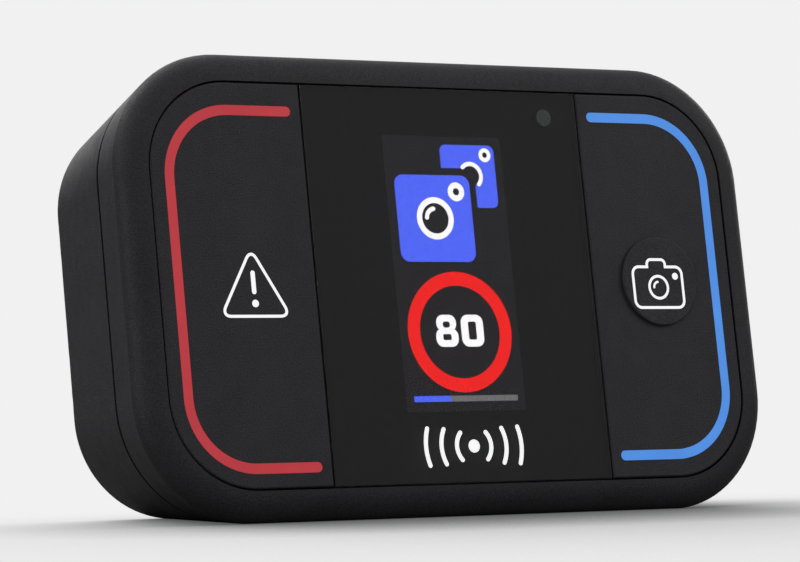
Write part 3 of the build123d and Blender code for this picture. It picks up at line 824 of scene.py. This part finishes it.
# %% Broadcast sign
SIGN_Y = -15.4
SIGN_STROKE = 0.44
SIGN_DOT = 0.62
SIGN_WAVES = ((1.9, 42), (3.6, 27), (5.3, 19))      # radius and half the opening in degrees
waves_out = [disc(0, SIGN_Y, SIGN_DOT)]
for radius, half_angle in SIGN_WAVES:
    for middle_angle in (0, 180):
        first, last = middle_angle - half_angle, middle_angle + half_angle
        waves_out.append(arc_band(0, SIGN_Y, radius, SIGN_STROKE, first, last))
broadcast = group_shapes(waves_out)
settle("broadcast_sign", broadcast, ink, "casing", INK_GRIP / 2, INK)

# %% [markdown]
# ## The display
# Black ink on the back of the window hides everything but the picture. It is a plate the size
# of the window with an opening, and it sits just inside the window's back face.

# %% Black mask
PICTURE_LEFT, PICTURE_RIGHT, PICTURE_LOW, PICTURE_HIGH = -6.6, 6.7, -12.0, 14.4
PICTURE_CORNER = 0.3
mask_ink = moulded("black_ink", (0.004, 0.004, 0.0045), 0.6)
MASK_GAP = 0.03
half_width = (window_high.x - window_low.x) / 2 / MM - MASK_GAP
half_height = (window_high.z - window_low.z) / 2 / MM - MASK_GAP
MASK_CORNER = 0.2
mask = panel_shape(-half_width, half_width, -half_height, half_height, MASK_CORNER)
opening = panel_shape(PICTURE_LEFT, PICTURE_RIGHT, PICTURE_LOW, PICTURE_HIGH, PICTURE_CORNER)
cut_through(mask, opening)
MASK_INK = 0.02 * MM
MASK_SUNK = 0.004 * MM
settle("window_mask", mask, mask_ink, "casing", WINDOW_DEPTH - MASK_SUNK, MASK_INK)


# %% [markdown]
# Everything on the display gives its own light. The picture is made of rows of tiny dots, so
# each colour is broken up by rows and columns a little under a tenth of a millimetre apart,
# and by a faint unevenness of the panel. The colours are divided by what the smoked window
# swallows on the way out.

# %% Display light
DOT_PITCH = 0.078 * MM
THROUGH_WINDOW = 0.56


def display_light(name, colour):
    """Self-lit colour behind the window, with the panel's rows and columns."""
    made = Finish(name, (0.004, 0.004, 0.004), 0.4)
    lit = shade_of(colour, 1 / THROUGH_WINDOW)
    rows = made.maths("MULTIPLY", made.waves(DOT_PITCH, "X"), made.waves(DOT_PITCH, "Z"))
    uneven = made.maths("ADD", made.spread(made.noise(0.25 * MM, detail=2), -0.5, 0.5), rows)
    dots = made.spread(uneven, 0, 1, -0.2, 1.0)
    made.link(made.tint(dots, shade_of(lit, 0.86), shade_of(lit, 1.1)), "Emission Color")
    made.shader.inputs["Emission Strength"].default_value = 1.0
    made.shader.inputs["Specular IOR Level"].default_value = 0.0
    made.link(made.spread(made.noise(0.5 * MM), 0.36, 0.46), "Roughness")
    return made


idle_light = display_light("display_idle", (0.0032, 0.0022, 0.0034))
white_light = display_light("display_white", (1.0, 0.99, 0.98))
blue_light = display_light("display_blue", (0.068, 0.122, 0.90))
red_light = display_light("display_red", (0.84, 0.003, 0.001))
grey_light = display_light("display_grey", (0.135, 0.135, 0.135))

# %% [markdown]
# The picture is a stack of thin layers on the panel's front: the idle field at the bottom,
# then coloured shapes, then white, then dark again. Each layer is a hair thicker than the one
# below, so no two faces share a plane.

# %% Layers of the picture
panel_front = upright_box("lcd_panel")[0].y
PANEL_DEPTH = panel_front - face_middle.y
LAYER = 0.012 * MM


def show(name, piece, light, layer):
    """Put a shape on the display, in this layer of the picture."""
    return settle(name, piece, light, "casing", PANEL_DEPTH, layer * LAYER)


FIELD_INSET = 0.05
field = panel_shape(PICTURE_LEFT + FIELD_INSET, PICTURE_RIGHT - FIELD_INSET,
                    PICTURE_LOW + FIELD_INSET, PICTURE_HIGH - FIELD_INSET, PICTURE_CORNER)
show("picture_field", field, idle_light, 1)
print(f"panel front {PANEL_DEPTH / MM:.2f} mm behind the face")

# %% [markdown]
# The upper half shows two camera tiles, one in front of the other: an average-speed check. The
# rear tile and its lens are cut back around the front tile, which leaves a dark border.

# %% Camera tiles
FRONT_X, FRONT_Y, FRONT_HALF, FRONT_CORNER = -1.42, 6.45, 4.18, 0.95
REAR_X, REAR_Y, REAR_HALF, REAR_CORNER = 2.82, 10.57, 3.04, 0.665
BORDER = 0.71


def tile(x, y, half, corner):
    """Square tile with round corners."""
    return panel_shape(x - half, x + half, y - half, y + half, corner)


def cut_back(piece):
    """Cut the shape back around the front tile."""
    return cut_through(piece, tile(FRONT_X, FRONT_Y, FRONT_HALF + BORDER, FRONT_CORNER + BORDER))


show("front_tile", tile(FRONT_X, FRONT_Y, FRONT_HALF, FRONT_CORNER), blue_light, 2)
show("rear_tile", cut_back(tile(REAR_X, REAR_Y, REAR_HALF, REAR_CORNER)), blue_light, 2)

# %% [markdown]
# Each tile shows a camera from the front: a white ring round dark glass, an arc of light in
# the glass, and a small flash lamp in the corner. On the rear tile only the right half of the
# lens shows, so its ring is an arc with round ends.

# %% Lenses of the tiles
RIM_RADIUS, RIM_WIDTH, GLASS_RADIUS = 2.035, 0.565, 1.52
SMALL_X, SMALL_Y, SMALL_RADIUS, SMALL_WIDTH, SMALL_GLASS = 1.17, 9.04, 0.91, 0.56, 0.37
SHINE_RADIUS, SHINE_STROKE = 0.93, 0.42
front_white = [disc(FRONT_X, FRONT_Y, RIM_RADIUS, hollow=RIM_WIDTH),
               disc(SMALL_X, SMALL_Y, SMALL_RADIUS, hollow=SMALL_WIDTH),
               arc_band(FRONT_X, FRONT_Y, SHINE_RADIUS, SHINE_STROKE, 98, 176)]
show("front_tile_lens", group_shapes(front_white), white_light, 4)
front_dark = [disc(FRONT_X, FRONT_Y, GLASS_RADIUS), disc(SMALL_X, SMALL_Y, SMALL_GLASS)]
show("front_tile_glass", group_shapes(front_dark), idle_light, 3)

REAR_RIM_X, REAR_RIM_Y, REAR_RIM_RADIUS, REAR_RIM_WIDTH = 3.0, 10.61, 1.17, 0.41
REAR_GLASS = 1.0
REAR_SMALL_X, REAR_SMALL_Y, REAR_SMALL_RADIUS, REAR_SMALL_WIDTH = 4.81, 12.66, 0.67, 0.40
REAR_SMALL_GLASS = 0.28
rear_white = [arc_band(REAR_RIM_X, REAR_RIM_Y, REAR_RIM_RADIUS, REAR_RIM_WIDTH, -43, 134),
              disc(REAR_SMALL_X, REAR_SMALL_Y, REAR_SMALL_RADIUS, hollow=REAR_SMALL_WIDTH)]
show("rear_tile_lens", group_shapes(rear_white), white_light, 4)
rear_dark = [cut_back(disc(REAR_RIM_X, REAR_RIM_Y, REAR_GLASS)),
             disc(REAR_SMALL_X, REAR_SMALL_Y, REAR_SMALL_GLASS)]
show("rear_tile_glass", group_shapes(rear_dark), idle_light, 3)

# %% [markdown]
# The lower half shows a speed limit: a red ring with bold figures in it. Both figures are cut
# from plates with round corners. The eight is two plates, the upper one narrower, and its
# waist comes from where their corners meet.

# %% Speed limit
LIMIT_X, LIMIT_Y = 0.12, -4.445
RING_RADIUS, RING_WIDTH = 5.76, 1.32
show("limit_ring", disc(LIMIT_X, LIMIT_Y, RING_RADIUS, hollow=RING_WIDTH), red_light, 2)
FIGURE_LOW, FIGURE_HIGH = -5.86, -2.81
FIGURE_WIDTH = 2.47
STEM, FOOT, TOP = 0.79, 0.67, 0.65
EIGHT_LEFT = LIMIT_X - 2.7
ZERO_LEFT = LIMIT_X + 0.16
FIGURE_CORNER = 0.78


def open_up(piece, left, right, low, high, corner):
    """Cut an opening with round corners through a figure."""
    return cut_through(piece, panel_shape(left, right, low, high, corner))


ZERO_RIGHT = ZERO_LEFT + FIGURE_WIDTH
zero = panel_shape(ZERO_LEFT, ZERO_RIGHT, FIGURE_LOW, FIGURE_HIGH, FIGURE_CORNER)
open_up(zero, ZERO_LEFT + STEM, ZERO_RIGHT - STEM, FIGURE_LOW + FOOT, FIGURE_HIGH - TOP, 0.2)

EIGHT_RIGHT = EIGHT_LEFT + FIGURE_WIDTH
WAIST = -4.24
OVERLAP = 0.14
UPPER_NARROWER = 0.14
UPPER_CORNER, LOWER_CORNER = 0.74, 0.76
NECK = 0.5
upper = panel_shape(EIGHT_LEFT + UPPER_NARROWER, EIGHT_RIGHT - UPPER_NARROWER,
                    WAIST - OVERLAP, FIGURE_HIGH, UPPER_CORNER)
lower = panel_shape(EIGHT_LEFT, EIGHT_RIGHT, FIGURE_LOW, WAIST + OVERLAP, LOWER_CORNER)
neck = panel_shape(EIGHT_LEFT + NECK, EIGHT_RIGHT - NECK, WAIST - NECK, WAIST + NECK, 0.0)
eight = join_shapes([upper, lower, neck])
open_up(eight, EIGHT_LEFT + 0.84, EIGHT_RIGHT - 0.84, WAIST + 0.21, FIGURE_HIGH - 0.63, 0.24)
open_up(eight, EIGHT_LEFT + 0.77, EIGHT_RIGHT - 0.77, FIGURE_LOW + 0.64, WAIST - 0.4, 0.16)
show("limit_figures", group_shapes([eight, zero]), white_light, 2)

# %% [markdown]
# At the bottom a bar shows how much of the checked stretch is already behind.

# %% Progress bar
BAR_LOW, BAR_HIGH = -11.06, -10.51
BAR_START, BAR_NOW, BAR_END = -5.65, -1.63, 5.88
show("bar_done", panel_shape(BAR_START, BAR_NOW, BAR_LOW, BAR_HIGH, 0.0), blue_light, 3)
show("bar_to_come", panel_shape(BAR_NOW, BAR_END, BAR_LOW, BAR_HIGH, 0.0), grey_light, 2)

# %% [markdown]
# ## The charging socket
# A reversible socket has twelve contacts on each side of its tongue. One contact is a short
# plate with a bevelled nose, and two Array modifiers repeat it along the row and on the other
# side.

# %% Socket contacts
tongue_low, tongue_high = upright_box("usb_socket_tongue")
CONTACT_PITCH = 0.5
CONTACTS_IN_ROW = 12
CONTACT_LENGTH = 2.4
CONTACT_THICK = 0.03
CONTACT_WIDTH = 0.26
CONTACT_SHORT = 0.3             # the contacts end this far behind the tongue's tip
NOSE_BEVEL = 0.012
tongue_thick = (tongue_high.y - tongue_low.y) / MM
tongue_middle = (tongue_low + tongue_high) / 2 / MM
clear_selection()
bpy.ops.mesh.primitive_cube_add(size=1)
contacts = bpy.context.object
contacts.scale = (CONTACT_LENGTH, CONTACT_THICK, CONTACT_WIDTH)
contacts.location = (tongue_high.x / MM - CONTACT_LENGTH / 2 - CONTACT_SHORT,
                     tongue_middle.y - tongue_thick / 2 - CONTACT_THICK / 2,
                     tongue_middle.z - CONTACT_PITCH * (CONTACTS_IN_ROW - 1) / 2)
bpy.ops.object.transform_apply(location=True, scale=True)
bpy.ops.object.mode_set(mode="EDIT")
bpy.ops.mesh.select_all(action="DESELECT")
bpy.ops.object.mode_set(mode="OBJECT")
nose_x = max(vertex.co.x for vertex in contacts.data.vertices)
for edge in contacts.data.edges:
    edge.select = all(contacts.data.vertices[index].co.x > nose_x - 0.001 for index in edge.vertices)
bpy.ops.object.mode_set(mode="EDIT")
bpy.ops.mesh.select_mode(type="EDGE")
bpy.ops.mesh.bevel(offset=NOSE_BEVEL, segments=2, affect="EDGES")
bpy.ops.object.mode_set(mode="OBJECT")

def repeat(piece, offset, count):
    """Repeat a piece in a row with an Array modifier, applied at once."""
    pick(piece)
    row = piece.modifiers.new("row", "ARRAY")
    row.use_relative_offset = False
    row.use_constant_offset = True
    row.constant_offset_displace = offset
    row.count = count
    bpy.ops.object.modifier_apply(modifier=row.name)


repeat(contacts, (0, 0, CONTACT_PITCH), CONTACTS_IN_ROW)
repeat(contacts, (0, tongue_thick + CONTACT_THICK, 0), 2)
contacts.data.transform(Matrix.Rotation(-LEAN, 4, "X") @ Matrix.Scale(MM, 4))
contacts.name = "usb_contacts"
gold = metal("contact_gold", (0.9, 0.62, 0.24), 0.25, (12, 1, 1))
contacts.data.materials.append(gold.material)
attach(contacts, "casing")
print("socket contacts:", CONTACTS_IN_ROW * 2)
